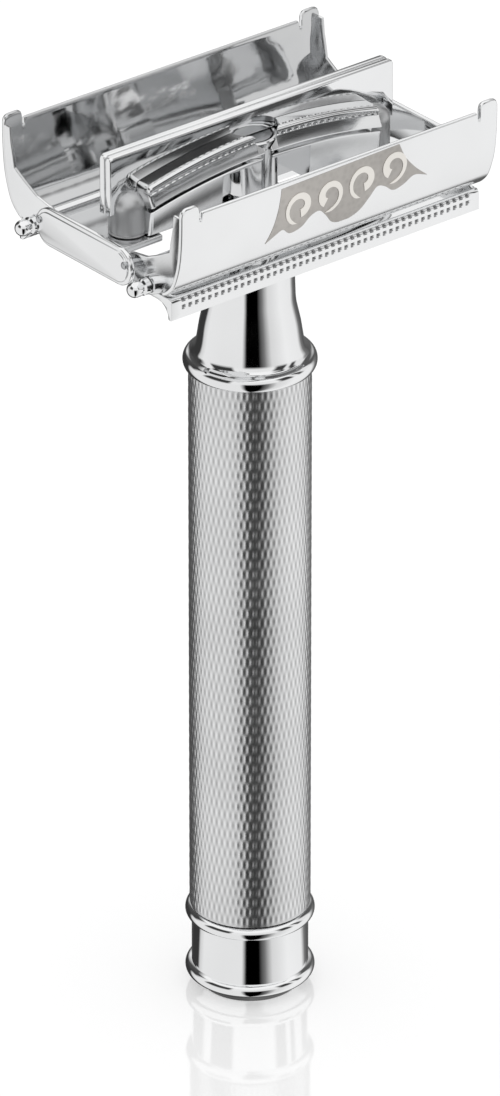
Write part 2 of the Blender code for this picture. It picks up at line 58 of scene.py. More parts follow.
TUBE_LOW, TUBE_HIGH = span("handle_tube", 2)
TUBE_R = span("handle_tube", 0)[1]
NECK_TOP = span("neck_collar", 2)[1]
GUARD_X = span("guard_plate", 0)[1]
GUARD_Y = span("guard_plate", 1)[1]
GUARD_LOW, GUARD_TOP = span("guard_plate", 2)
HUB_LOW, HUB_TOP = span("hub_post", 2)
HUB_R = span("hub_post", 0)[1]
BED_Y = span("right_bed_rail", 1)[1]
BED_TOP = span("right_bed_rail", 2)[1]
POST_LOW = span("right_bed_post", 2)[0]
POST_R = span("right_bed_post", 1)[1]
POST_X = span("right_bed_post", 0)[1] - POST_R
SPINE_X = span("center_spine", 0)[1]
SPINE_Y = span("center_spine", 1)
SPINE_TOP = span("center_spine", 2)[1]
CAP_OUT = span("right_end_cap", 0)[1]
CAP_Y = span("right_end_cap", 1)[1]
CAP_LOW, CAP_HIGH = span("right_end_cap", 2)
DOOR_X = span("rear_door", 0)[1]
DOOR_Y = span("rear_door", 1)[1]
DOOR_TOP = span("rear_door", 2)[1]
PIN_Y, PIN_Z = (sum(span("rear_right_hinge_pin", axis)) / 2 for axis in (1, 2))
PEG_Y, PEG_Z = (sum(span("rear_right_door_peg", axis)) / 2 for axis in (1, 2))
PEG_R = (span("rear_right_door_peg", 1)[1] - span("rear_right_door_peg", 1)[0]) / 2
PEG_TIP = span("rear_right_door_peg", 0)[1]

# ------------------------------------------------------------ sizes of the visible detail

CELLS_ROUND, CELL_PERIOD, CELL_DEPTH = 62, 2.4, 0.05
CELL_COLUMNS, CELL_ROWS = 6, 8
TUBE_WALL = 1.1
RING_RADIUS, RING_CENTRE = 0.75, 6.41
COMB_PITCH, COMB_TEETH = 0.89, 45
GUARD_CORNER = 0.6
LOWER_ROW, LOWER_HALF, LOWER_PRESS = 1.25, 0.24, 0.3
UPPER_ROW, UPPER_HALF, UPPER_PRESS = 30, 24, 0.36
GUARD_BRIDGE, GUARD_SLOT = 5.6, 3.3
ARCH_DROP, ARCH_END = 1.9, 16.0
BEAD_PITCH, BEAD_LEAST, BEAD_MORE = 0.9, 0.05, 0.16
SKIRT_DEPTH, GROOVE_HEIGHT = 2.25, 0.55
BRIDGE_ROOM, BRIDGE_ROOF = 6.0, 101.6
POST_DOME, POST_TOP = 1.9, 102.25
SPINE_LEG, SPINE_FOOT = 17.5, 100.05
SPINE_GAP, SEAM_PITCH = 0.06, 1.15
CAP_PLATE, CAP_RIM = 0.85, 0.42
DOOR_THICKNESS, TAB_LENGTH = 0.55, 2.4
EAR_RADIUS = 1.1
VOLUTE_SIZE, VOLUTE_WIDTH, VOLUTE_TURNS = 2.0, 0.86, 0.95


# ------------------------------------------------------------ materials


def node_of(tree, kind, inputs=(), **settings):
    made = tree.nodes.new(kind)
    for key, value in settings.items():
        setattr(made, key, value)
    for key, value in dict(inputs).items():
        made.inputs[key].default_value = value
    return made


def noise(tree, place, scale, detail, roughness=0.5):
    made = node_of(tree, "ShaderNodeTexNoise", {"Scale": scale, "Detail": detail, "Roughness": roughness})
    tree.links.new(place, made.inputs["Vector"])
    return made.outputs["Fac"]


def remapped(tree, value, to_min, to_max, from_min=0.0, from_max=1.0):
    ends = {"From Min": from_min, "From Max": from_max, "To Min": to_min, "To Max": to_max}
    made = node_of(tree, "ShaderNodeMapRange", ends)
    tree.links.new(value, made.inputs["Value"])
    return made.outputs["Result"]


def multiplied(tree, colour, shade):
    made = node_of(tree, "ShaderNodeMix", {"Factor": 1.0}, data_type="RGBA", blend_type="MULTIPLY")
    tree.links.new(colour, made.inputs[6])
    tree.links.new(shade, made.inputs[7])
    return made.outputs[2]


def maths(tree, operation, first, second=None):
    """A Math node fed by a socket and, if there is a second, by another socket or a number."""
    made = node_of(tree, "ShaderNodeMath", operation=operation)
    tree.links.new(first, made.inputs[0])
    if isinstance(second, (int, float)):
        made.inputs[1].default_value = second
    elif second:
        tree.links.new(second, made.inputs[1])
    return made.outputs[0]


def cell_pattern(tree, place):
    """-1 in the hollows and 1 on the crests of the tube's engraved cells."""
    axes = node_of(tree, "ShaderNodeSeparateXYZ")
    tree.links.new(place, axes.inputs[0])
    turn = maths(tree, "ARCTAN2", axes.outputs["Y"], axes.outputs["X"])
    across = maths(tree, "COSINE", maths(tree, "MULTIPLY", turn, CELLS_ROUND))
    rate = 2 * math.pi / (CELL_PERIOD * MM)
    along = maths(tree, "COSINE", maths(tree, "MULTIPLY", axes.outputs["Z"], rate))
    return maths(tree, "MULTIPLY", across, along)


def metal(name, colour, roughness, haze, grain, bump, tint=0.04, speckle=0.0, wave=0.0, cells=0.0):
    """Plated or bare metal: haze in the roughness, a slight tint in the colour and fine surface grain.

    speckle darkens fine spots, cells paints shade into the engraved hollows, and wave is the depth of a slow
    ripple."""
    material = bpy.data.materials.new(name)
    material.use_nodes = True
    tree = material.node_tree
    shader = tree.nodes["Principled BSDF"]
    shader.inputs["Metallic"].default_value = 1.0
    place = node_of(tree, "ShaderNodeTexCoord").outputs["Object"]
    hazy = remapped(tree, noise(tree, place, 260.0, 4.0, 0.6), roughness, roughness + haze)
    tree.links.new(hazy, shader.inputs["Roughness"])

    ramp = node_of(tree, "ShaderNodeValToRGB")
    darker = [c * (1 - tint) for c in colour]
    for element, position, value in zip(ramp.color_ramp.elements, (0.3, 0.7), (darker, colour)):
        element.position = position
        element.color = (*value, 1)
    tree.links.new(noise(tree, place, 90.0, 3.0), ramp.inputs["Fac"])
    paint = ramp.outputs["Color"]
    if speckle:
        spots = node_of(tree, "ShaderNodeTexVoronoi", {"Scale": 1400.0})
        tree.links.new(place, spots.inputs["Vector"])
        paint = multiplied(tree, paint, remapped(tree, spots.outputs["Distance"], 1 - speckle, 1.0, 0.0, 0.6))
    # painted shade: the colour is darkened in the engraved hollows
    if cells:
        paint = multiplied(tree, paint, remapped(tree, cell_pattern(tree, place), 1 - cells, 1.0, -1.0))
    tree.links.new(paint, shader.inputs["Base Color"])

    relief = node_of(tree, "ShaderNodeBump", {"Strength": bump, "Distance": 0.00002})
    tree.links.new(noise(tree, place, grain, 5.0, 0.55), relief.inputs["Height"])
    if wave:
        ripple = node_of(tree, "ShaderNodeBump", {"Strength": 1.0, "Distance": wave})
        tree.links.new(noise(tree, place, 170.0, 2.0), ripple.inputs["Height"])
        tree.links.new(ripple.outputs["Normal"], relief.inputs["Normal"])
    tree.links.new(relief.outputs["Normal"], shader.inputs["Normal"])
    return material


CHROME = metal("polished_chrome", (0.90, 0.905, 0.91), 0.035, 0.05, 500.0, 0.12)
SHEET = metal("door_chrome", (0.90, 0.905, 0.91), 0.10, 0.10, 500.0, 0.10)
# a darker copy of the door chrome for the doors' inward faces: painted shade
SHADED_INNER = metal("inner_chrome_painted_shade", (0.66, 0.665, 0.67), 0.03, 0.06, 700.0, 0.20, 0.10, wave=0.00006)
BED = metal("bed_chrome", (0.84, 0.845, 0.85), 0.07, 0.08, 700.0, 0.20, 0.10)
SATIN = metal("satin_chrome", (0.62, 0.625, 0.63), 0.34, 0.14, 900.0, 0.30, 0.12)
# the engraved tube's colour darkens in the hollows between its cells: painted shade
ENGRAVED = metal("engraved_chrome", (0.97, 0.975, 0.98), 0.27, 0.08, 900.0, 0.20, 0.08, cells=0.48)
ETCHED = metal("etched_ornament", (0.60, 0.575, 0.545), 0.42, 0.16, 2600.0, 0.60, 0.22, 0.12)
SCROLL = metal("scroll_chrome", (0.93, 0.90, 0.85), 0.30, 0.14, 1600.0, 0.30, 0.06)
# a darker chrome for the faces deep in the comb's pockets: painted shade
POCKET_SHADE = metal("comb_pocket_painted_shade", (0.50, 0.502, 0.505), 0.26, 0.12, 1200.0, 0.30, 0.12)
STEEL = metal("plain_steel", (0.55, 0.56, 0.57), 0.22, 0.14, 1200.0, 0.40, 0.12)
BRASS = metal("turned_brass", (0.78, 0.60, 0.30), 0.24, 0.14, 1200.0, 0.40, 0.15)


# ------------------------------------------------------------ mesh helpers


def loft(loops, ring=False):
    """Points and faces of a closed skin over loops of equal count, capped or joined into a ring."""
    count = len(loops[0])
    points = [point for loop in loops for point in loop]
    faces = []
    for i in range(len(loops) if ring else len(loops) - 1):
        a, b = i * count, (i + 1) % len(loops) * count
        faces += [(a + j, a + (j + 1) % count, b + (j + 1) % count, b + j) for j in range(count)]
    if not ring:
        faces.append(tuple(range(count))[::-1])
        faces.append(tuple(range((len(loops) - 1) * count, len(loops) * count)))
    return points, faces


def circles(profile, segments, centre=(0.0, 0.0)):
    """One circle round Z for each (radius, height) of the profile."""
    turns = [2 * math.pi * j / segments for j in range(segments)]
    x, y = centre
    return [[(x + r * math.cos(t), y + r * math.sin(t), z) for t in turns] for r, z in profile]


def laid_along_x(points, y, z):
    """Points turned round Z, laid along X with the axis at (y, z)."""
    return [(c, y + a, z + b) for a, b, c in points]


def polar(centre, radius, degrees):
    t = math.radians(degrees)
    return centre[0] + radius * math.cos(t), centre[1] + radius * math.sin(t)


def arc(centre, radius, start, end, steps):
    """Points on an arc between two angles in degrees."""
    return [polar(centre, radius, start + (end - start) * i / steps) for i in range(steps + 1)]


def smooth_line(points, steps):
    """A smooth curve through the points, with so many steps between each two."""
    line = [Vector(p) for p in points]
    line = [2 * line[0] - line[1]] + line + [2 * line[-1] - line[-2]]
    out = []
    for a, b, c, d in zip(line, line[1:], line[2:], line[3:]):
        for k in range(steps):
            t = k / steps
            p = 2 * b + (c - a) * t + (2 * a - 5 * b + 4 * c - d) * t * t + (3 * b - a - 3 * c + d) * t**3
            out.append(tuple(p / 2))
    return out + [tuple(line[-2])]


def rounded(outline, radius, steps=4):
    """The closed outline with its corners rounded."""
    out = []
    for i, corner in enumerate(outline):
        here = Vector(corner)
        arms = [Vector(outline[i - 1]) - here, Vector(outline[(i + 1) % len(outline)]) - here]
        ends = [here + arm.normalized() * min(radius, arm.length * 0.45) for arm in arms]
        for k in range(steps + 1):
            t = k / steps
            out.append(tuple(ends[0] * (1 - t) ** 2 + here * 2 * t * (1 - t) + ends[1] * t * t))
    return out


def shrunk(outline, depth):
    """The closed outline moved inward by the depth."""
    area = sum(a[0] * b[1] - b[0] * a[1] for a, b in zip(outline, outline[1:] + outline[:1]))
    turn = 1 if area > 0 else -1
    out = []
    for i, point in enumerate(outline):
        here = Vector(point)
        before = (here - Vector(outline[i - 1])).normalized()
        after = (Vector(outline[(i + 1) % len(outline)]) - here).normalized()
        normal = Vector((-before.y - after.y, before.x + after.x)) * turn
        normal /= max(1 + before.dot(after), 0.35)
        out.append(tuple(here + normal * depth))
    return out


PLACES = {"X": lambda a, b, c: (c, a, b), "Y": lambda a, b, c: (a, c, b)}


def straight(outline, axis, start, end):
    """The outline extruded along an axis."""
    return loft([[PLACES[axis](a, b, along) for a, b in outline] for along in (start, end)])


def rounded_prism(outline, axis, start, end, radius, steps=3):
    """The outline extruded along an axis, with rounded rims at both ends."""
    stops = []
    for k in range(steps + 1):
        t = math.pi / 2 * k / steps
        stops.append((radius * (1 - math.sin(t)), radius * (1 - math.cos(t))))
    places = [(inset, start + along) for inset, along in stops]
    places += [(inset, end - along) for inset, along in stops[::-1]]
    return loft([[PLACES[axis](a, b, place) for a, b in shrunk(outline, inset)] for inset, place in places])


def mirrored(part, side):
    """The skin as it is, or on the other side of the YZ plane when side is -1."""
    points, faces = part
    return [(side * x, y, z) for x, y, z in points], faces


def plate_cutter(outline, low, high):
    """A helper solid with the outline in (x, y), between two heights."""
    return skin("cutter", [loft([[(x, y, z) for x, y in outline] for z in (low, high)])])


def skin(name, parts, material=None, angle=32):
    """A mesh object made of one or more closed skins given as (points, faces)."""
    points, faces = [], []
    for part_points, part_faces in parts:
        faces += [tuple(i + len(points) for i in face) for face in part_faces]
        points += list(part_points)
    mesh = bpy.data.meshes.new(name)
    mesh.from_pydata((np.array(points) * MM).tolist(), [], faces)
    bm = bmesh.new()
    bm.from_mesh(mesh)
    bmesh.ops.recalc_face_normals(bm, faces=bm.faces)
    bm.to_mesh(mesh)
    bm.free()
    obj = bpy.data.objects.new(name, mesh)
    bpy.context.scene.collection.objects.link(obj)
    if material:
        mesh.materials.append(material)
        obj["smooth_angle"] = angle
        mesh.shade_smooth()
        mesh.set_sharp_from_angle(angle=math.radians(angle))
    return obj


def combine(target, operation, *helpers):
    """Applies a Boolean of each helper to the target, and removes the helper."""
    for helper in helpers:
        modifier = target.modifiers.new("combine", "BOOLEAN")
        modifier.operation = operation
        modifier.solver = "EXACT"
        modifier.object = helper
    graph = bpy.context.evaluated_depsgraph_get()
    mesh = bpy.data.meshes.new_from_object(target.evaluated_get(graph))
    target.modifiers.clear()
    target.data = mesh
    mesh.shade_smooth()
    mesh.set_sharp_from_angle(angle=math.radians(target["smooth_angle"]))
    for helper in helpers:
        bpy.data.objects.remove(helper, do_unlink=True)
    return target


def fit(obj, body, *nodes):
    """The piece rides on a body and stands for CAD nodes."""
    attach(obj, body)
    if nodes:
        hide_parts(*nodes)
    return obj


# ------------------------------------------------------------ handle


def handle_tube():
    """A tube under a fine engraving of lens-shaped cells in staggered rows."""
    columns = CELLS_ROUND * CELL_COLUMNS
    rows = int((TUBE_HIGH - TUBE_LOW) / CELL_PERIOD * CELL_ROWS)
    heights = np.linspace(TUBE_LOW, TUBE_HIGH, rows)
    turns = np.linspace(0, 2 * math.pi, columns, endpoint=False)
    z, t = np.meshgrid(heights, turns, indexing="ij")
    relief = 0.5 + 0.5 * np.cos(CELLS_ROUND * t) * np.cos(2 * math.pi * z / CELL_PERIOD)
    fade = np.clip(np.minimum(z - TUBE_LOW, TUBE_HIGH - z) / 0.5, 0, 1)
    radius = TUBE_R - CELL_DEPTH * (1 - relief * fade)
    outer = np.stack([radius * np.cos(t), radius * np.sin(t), z], axis=-1)
    bore = TUBE_R - TUBE_WALL
    rims = circles([(bore, TUBE_HIGH), (bore, TUBE_LOW)], columns)
    loops = [loop.tolist() for loop in outer] + rims
    tube = skin("handle_tube_engraved", [loft(loops, ring=True)], ENGRAVED, 60)
    fit(tube, "handle", "handle_tube")


def neck_collar():
    """The neck flares down to a bead that covers the top of the tube, and its spigot goes down inside."""
    flare = [
        (4.86, NECK_TOP), (4.84, 88.0), (4.88, 85.7), (5.0, 83.8),
        (5.5, 81.4), (5.82, 79.4), (6.06, 78.5), (6.42, 78.0),
    ]
    bead = [(6.55 + 0.75 * r, 76.95 + 0.9 * z) for r, z in arc((0.0, 0.0), 1.0, 78, -72, 18)]
    seat = TUBE_HIGH + 0.02
    spigot = [(6.95, TUBE_HIGH + 0.1), (6.75, seat), (5.5, seat), (5.5, 68.5), (2.1, 68.5)]
    bore = [(2.1, 90.6), (3.15, 90.6), (3.15, NECK_TOP)]
    profile = smooth_line(flare, 8) + bead + spigot + bore
    neck = skin("neck_collar_polished", [loft(circles(profile, 96), ring=True)], CHROME, 28)
    fit(neck, "handle", "neck_collar")


def twist_knob():
    """A waisted knob between two rolled rings, with a plain plug in its foot."""
    high = span("twist_knob", 2)[1]
    foot = smooth_line([(5.15, 0.0), (5.42, 0.08), (5.75, 0.42), (6.3, 0.95), (6.52, 1.25)], 4)
    lower = arc((RING_CENTRE, 1.96), RING_RADIUS, -62, 62, 14)
    waist = [(6.47, 2.72), (6.45, 2.9), (6.45, 5.5), (6.45, 8.2), (6.47, 8.38)]
    upper = arc((RING_CENTRE, 9.12), RING_RADIUS, -62, 70, 14)
    bore = [(6.5, high), (3.4, high), (3.4, 2.3), (4.15, 2.3), (4.15, 0.25), (4.3, 0.0)]
    profile = foot + lower + waist + upper + bore
    knob = skin("twist_knob_polished", [loft(circles(profile, 112), ring=True)], CHROME, 30)
    fit(knob, "knob", "twist_knob")
    profile = [(0.4, 0.0), (1.1, 0.0), (1.2, 0.1), (1.4, 0.1), (1.5, 0.0), (3.4, 0.0)]
    profile += [(3.55, 0.12), (3.75, 0.12)]
    profile += [(3.85, 0.0), (4.02, 0.0), (4.08, 0.12), (4.08, 2.05), (0.4, 2.05)]
    plug = skin("knob_plug_turned", [loft(circles(profile, 64))], CHROME, 30)
    fit(plug, "knob", "knob_foot_plug")


# ------------------------------------------------------------ guard


def guard_section(notch):
    """Half of the guard's section, from the middle of its underside round to the middle of its top.

    notch is how far both rows of the comb are pressed in, from 0 to 1."""
    y, top, low = GUARD_Y, GUARD_TOP, GUARD_LOW
    under = [(0.0, top - 0.65), (y - 2.3, top - 0.65), (y - 1.6, top - 0.8), (y - 1.08, low + 1.3)]
    under += [(y - 0.7, low + 0.75), (y - 0.58, low + 0.5), (y - 0.55, low + 0.1), (y - 0.46, low)]
    face = [(y - 0.12, low), (y - 0.03, low + 0.04), (y, low + 0.13), (y, low + 0.5)]
    for i in range(11):
        z = low + 1.0 + 0.06 * i
        depth = max(0.0, math.cos((z - low - LOWER_ROW) / LOWER_HALF * math.pi / 2)) ** 0.5
        face.append((y - LOWER_PRESS * notch * depth, z))
    centre = y - GUARD_CORNER, top - GUARD_CORNER
    for i in range(19):
        angle = 90 * i / 18
        off = abs(angle - UPPER_ROW)
        depth = math.cos(off / UPPER_HALF * math.pi / 2) ** 0.5 if off < UPPER_HALF else 0.0
        face.append(polar(centre, GUARD_CORNER - UPPER_PRESS * notch * depth, angle))
    return under + face + [(y - 1.0, top), (4.5, top), (0.0, top)]


def in_comb_pocket(y, z):
    """Whether a face centre lies well inside a pocket of the comb's lower or upper row."""
    lower = abs(z - GUARD_LOW - LOWER_ROW) < 0.3 and 0.08 < GUARD_Y - y < 0.5
    over, up = y - GUARD_Y + GUARD_CORNER, z - GUARD_TOP + GUARD_CORNER
    return lower or (min(over, up) > 0 and math.hypot(over, up) < 0.5)


def guard_plate():
    """The guard: a floor between two combed rails, slotted for the bed and holed for the hub."""
    shape = ((-0.5, 0.0), (-0.3, 0.0), (-0.24, 0.55), (-0.15, 1.0), (0.15, 1.0), (0.24, 0.55), (0.3, 0.0))
    rim = ((0.0, 0.08), (0.03, 0.02), (0.08, 0.0))
    marks = [(-GUARD_X + along, 0.0, inset) for along, inset in rim]
    for tooth in range(COMB_TEETH):
        middle = (tooth - (COMB_TEETH - 1) / 2) * COMB_PITCH
        marks += [(middle + at * COMB_PITCH, notch, 0.0) for at, notch in shape]
    marks += [(GUARD_X - along, 0.0, inset) for along, inset in rim[::-1]]
    loops = []
    for x, notch, inset in marks:
        half = guard_section(notch)
        section = half + [(-y, z) for y, z in half[-2:0:-1]]
        loops.append([(x, y, z) for y, z in (shrunk(section, inset) if inset else section)])
    guard = skin("guard_plate_combed", [loft(loops)], CHROME, 40)
    low, high = GUARD_LOW - 1, GUARD_TOP + 1
    cutters = [skin("hole", [loft(circles([(3.25, low), (3.25, high)], 64))])]
    inner, outer, wide = GUARD_BRIDGE, 30.0, GUARD_SLOT
    slot = rounded([(inner, -wide), (outer, -wide), (outer, wide), (inner, wide)], 0.8)
    cutters += [plate_cutter([(side * x, y) for x, y in slot], low, high) for side in (-1, 1)]
    combine(guard, "DIFFERENCE", *cutters)
    # faces deep in the comb's pockets take the darker chrome: painted shade
    guard.data.materials.append(POCKET_SHADE)
    for face in guard.data.polygons:
        if in_comb_pocket(abs(face.center.y) / MM, face.center.z / MM):
            face.material_index = 1
    fit(guard, "handle", "guard_plate")


# ------------------------------------------------------------ carriage


def bed_height(x):
    return BED_TOP - ARCH_DROP * (x / ARCH_END) ** 2


def bed_section(x, inset):
    """Half of a bed rail's section at x: two rows of beads, a flared skirt, a groove and a lower wall."""
    top, w = bed_height(x) - inset, BED_Y - inset
    skirt = bed_height(x) - SKIRT_DEPTH
    groove = skirt - GROOVE_HEIGHT
    dots = 0.5 + 0.5 * math.cos(2 * math.pi * x / BEAD_PITCH)
    press = BEAD_LEAST + BEAD_MORE * dots
    half = [(0.0, top), (w - 0.75, top), (w - 0.68, top - press), (w - 0.5, top - press)]
    half += [(w - 0.42, top - 0.01), (w - 0.22, top - 0.05), (w - 0.08, top - 0.16)]
    half += [(w, top - 0.34), (w, top - 0.5)]
    press = BEAD_LEAST + BEAD_MORE * (1 - dots)
    half += [(w - press, top - 0.58), (w - press, top - 0.8), (w, top - 0.88), (w, top - 1.0)]
    half += [(w + 0.5, skirt + 0.12), (w + 0.44, skirt), (w - 1.0, skirt), (w - 1.0, groove)]
    half += [(w + 0.22, groove), (w + 0.3, groove - 0.08), (w + 0.24, groove - 0.2)]
    return half + [(w - 0.1, POST_LOW + 0.1), (w - 0.2, POST_LOW), (0.0, POST_LOW)]


def bed_rail(side, label):
    """An arched rail that the blade lies across, slotted for the spine and clear of the guard's bridge."""
    stations = [(0.4, 0.12), (0.46, 0.03), (0.55, 0.0)]
    stations += [(0.6 + 0.15 * i, 0.0) for i in range(101)]
    stations += [(15.7, 0.03), (15.82, 0.1), (15.9, 0.22)]
    seat = [(x, bed_height(x) - 1.1) for x in range(0, 19, 2)] + [(20, 99.0), (20, 110.0), (0.0, 110.0)]
    under = POST_LOW - 1
    bridge = [(-1.0, under), (BRIDGE_ROOM, under), (BRIDGE_ROOM, BRIDGE_ROOF), (-1.0, BRIDGE_ROOF)]
    loops = []
    for x, inset in stations:
        half = bed_section(x, inset)
        section = half + [(-y, z) for y, z in half[-2:0:-1]]
        loops.append([(side * x, y, z) for y, z in section])
    rail = skin(f"{label}_bed_rail_arched", [loft(loops)], BED, 30)
    socket = skin("socket", [loft(circles([(HUB_R + 0.1, 90.0), (HUB_R + 0.1, 110.0)], 64))])
    slot = skin("slot", [mirrored(straight(seat, "Y", SPINE_Y[0] - 0.05, SPINE_Y[1] + 0.05), side)])
    room = skin("room", [mirrored(straight(bridge, "Y", -5.0, 5.0), side)])
    combine(rail, "DIFFERENCE", socket, slot, room)
    fit(rail, "carriage", f"{label}_bed_rail")


def bed_post(side, label):
    """A domed post under a rail's outer end, with a turned groove at its foot."""
    wall = [(0.1, POST_TOP)] + arc((POST_R - POST_DOME, POST_TOP - POST_DOME), POST_DOME, 90, 0, 12)
    wall += [(POST_R, POST_LOW + 0.5), (POST_R - 0.12, POST_LOW + 0.4)]
    wall += [(POST_R - 0.12, POST_LOW + 0.2), (POST_R, POST_LOW + 0.12), (POST_R - 0.1, POST_LOW)]
    post = skin(f"{label}_bed_post_domed", [loft(circles(wall, 64, (side * POST_X, 0.0)))], SATIN, 30)
    fit(post, "carriage", f"{label}_bed_post")


def hub_post():
    """The hub on the drive rod, with a rolled rim and a slit down its front."""
    rim, bore = HUB_R - 0.1, 1.9
    profile = [(bore, HUB_TOP - 0.55), (2.45, HUB_TOP - 0.55), (2.5, HUB_TOP - 0.1), (2.6, HUB_TOP)]
    profile += [(HUB_R - 0.12, HUB_TOP), (HUB_R, HUB_TOP - 0.12), (HUB_R, HUB_TOP - 0.6)]
    profile += [(rim, HUB_TOP - 0.65), (rim, HUB_TOP - 0.85), (HUB_R, HUB_TOP - 0.9)]
    profile += [(HUB_R, HUB_LOW + 0.15), (HUB_R - 0.15, HUB_LOW)]
    hub = skin("hub_post_turned", [loft(circles(profile + [(bore, HUB_LOW)], 72), ring=True)], BED, 30)
    slit = rounded([(-0.75, -4.0), (-0.35, -4.0), (-0.35, -2.35), (-0.75, -2.35)], 0.05)
    combine(hub, "DIFFERENCE", plate_cutter(slit, HUB_LOW - 1, HUB_TOP - 1.1))
    fit(hub, "carriage", "hub_post")


def spine_outline():
    """Side view of the spine: a bar that follows the bed's arch, with a leg down over each end."""
    seat = [(x, bed_height(x) - 0.98) for x in (4.0, 8.0, 12.0, 16.0)]
    leg = [(SPINE_LEG, bed_height(ARCH_END) - 1.0), (SPINE_LEG, SPINE_FOOT), (SPINE_X, SPINE_FOOT)]
    corner = [(SPINE_X, SPINE_TOP - 0.5), (SPINE_X - 0.15, SPINE_TOP - 0.15), (SPINE_X - 0.5, SPINE_TOP)]
    half = seat + leg + corner
    return half + [(-x, z) for x, z in reversed(half)]


def center_spine():
    """A strip folded double, with a row of pressed marks down its seam."""
    middle = sum(SPINE_Y) / 2
    outline = spine_outline()
    front = rounded_prism(outline, "Y", SPINE_Y[0], middle - SPINE_GAP, 0.2)
    rear = rounded_prism(outline, "Y", middle + SPINE_GAP, SPINE_Y[1], 0.2)
    loops = []
    for i in range(301):
        x = -19.2 + 38.4 * i / 300
        top = SPINE_TOP - 0.34 + 0.24 * (0.5 + 0.5 * math.cos(2 * math.pi * x / SEAM_PITCH))
        low = bed_height(min(abs(x), ARCH_END)) - 0.9
        loops.append([(x, middle + y, z) for y, z in ((-0.2, low), (0.2, low), (0.2, top), (-0.2, top))])
    spine = skin("center_spine_folded", [front], CHROME, 32)
    combine(spine, "UNION", skin("layer", [rear]), skin("seam", [loft(loops)]))
    fit(spine, "carriage", "center_spine")


def end_caps():
    """A rounded plate at each end of the carriage, with a raised face and a tongue in under the bed."""
    radius, middle = (CAP_HIGH - CAP_LOW) / 2, (CAP_HIGH + CAP_LOW) / 2
    end_y = CAP_Y - radius
    outline = arc((end_y, middle), radius, -90, 90, 20) + arc((-end_y, middle), radius, 90, 270, 20)
    under_bed = rounded([(-2.9, 96.5), (2.9, 96.5), (2.9, 97.3), (-2.9, 97.3)], 0.2)
    inner = CAP_OUT - CAP_PLATE
    for side, label in ((-1, "left"), (1, "right")):
        plate = rounded_prism(outline, "X", inner, CAP_OUT - 0.2, 0.16)
        face = rounded_prism(shrunk(outline, CAP_RIM), "X", inner + 0.3, CAP_OUT, 0.14)
        tongue = rounded_prism(under_bed, "X", 14.3, inner + 0.4, 0.15)
        cap = skin(f"{label}_end_cap_raised", [mirrored(plate, side)], CHROME, 30)
        combine(cap, "UNION", skin("face", [mirrored(face, side)]), skin("tongue", [mirrored(tongue, side)]))
        fit(cap, "carriage", f"{label}_end_cap")


def hinge_pins():
    """Pins with domed heads."""
    for y_side, row in ((-1, "front"), (1, "rear")):
        for x_side, label in ((-1, "left"), (1, "right")):
            node = f"{row}_{label}_hinge_pin"
            low, high = span(node, 0)
            inner, tip = (low, high) if x_side > 0 else (-high, -low)
            profile = [(0.3, inner), (0.44, inner + 0.12), (0.44, tip - 0.28)]
            profile += [(0.4, tip - 0.14), (0.28, tip - 0.04), (0.12, tip)]
            points, faces = loft(circles(profile, 32))
            turned = mirrored((laid_along_x(points, y_side * PIN_Y, PIN_Z), faces), x_side)
            fit(skin(f"{node}_domed", [turned], STEEL, 40), "carriage", node)


# ------------------------------------------------------------ doors

DOOR_LINE = smooth_line(
    [(DOOR_Y - 0.1, DOOR_TOP), (DOOR_Y - 0.1, 105.0), (15.1, 102.6), (14.85, 100.5), (14.4, 98.8),
     (13.75, 97.3), (12.85, 96.3), (11.9, 95.7)], 8)


def along_door(distance, depth):
    """The (y, z) at a distance down the door's outer face from its top, and a depth under that face."""
    for a, b in zip(DOOR_LINE, DOOR_LINE[1:]):
        start, end = Vector(a), Vector(b)
        step = end - start
        if distance <= step.length or b == DOOR_LINE[-1]:
            unit = step.normalized()
            point = start + unit * distance
            return point.x + unit.y * depth, point.y - unit.x * depth
        distance -= step.length


DOOR_LENGTH = sum((Vector(b) - Vector(a)).length for a, b in zip(DOOR_LINE, DOOR_LINE[1:]))
TAB_X = DOOR_X - TAB_LENGTH
TOP_EDGE = (
    (0.0, 1.0), (TAB_X - 0.62, 1.0), (TAB_X - 0.48, 1.04), (TAB_X - 0.42, 1.16), (TAB_X - 0.4, 1.82),
    (TAB_X - 0.3, 1.92), (TAB_X - 0.1, 1.92), (TAB_X - 0.01, 1.82), (TAB_X + 0.01, 0.55), (TAB_X + 0.1, 0.22),
    (TAB_X + 0.35, 0.04), (TAB_X + 0.6, 0.0), (DOOR_X - 0.75, 0.0), (DOOR_X - 0.45, 0.08),
    (DOOR_X - 0.22, 0.25), (DOOR_X - 0.06, 0.52), (DOOR_X, 0.85),
)


def top_edge(x):
    """How far the door's upper edge lies below its highest point."""
    return float(np.interp(abs(x), [p[0] for p in TOP_EDGE], [p[1] for p in TOP_EDGE]))


def door_column(x, inset):
    """The closed section of the door's sheet at x, with rolled upper and lower rims."""
    half = DOOR_THICKNESS / 2 - inset
    start, end = top_edge(x) + DOOR_THICKNESS / 2, DOOR_LENGTH - DOOR_THICKNESS / 2
    middle = DOOR_THICKNESS / 2
    distances = [start + (end - start) * i / 40 for i in range(41)]
    loop = [along_door(s, middle - half) for s in distances]
    for k in range(1, 6):
        t = math.pi * k / 6
        loop.append(along_door(end + half * math.sin(t), middle - half * math.cos(t)))
    loop += [along_door(s, middle + half) for s in reversed(distances)]
    for k in range(1, 6):
        t = math.pi * k / 6
        loop.append(along_door(start - half * math.sin(t), middle + half * math.cos(t)))
    return loop


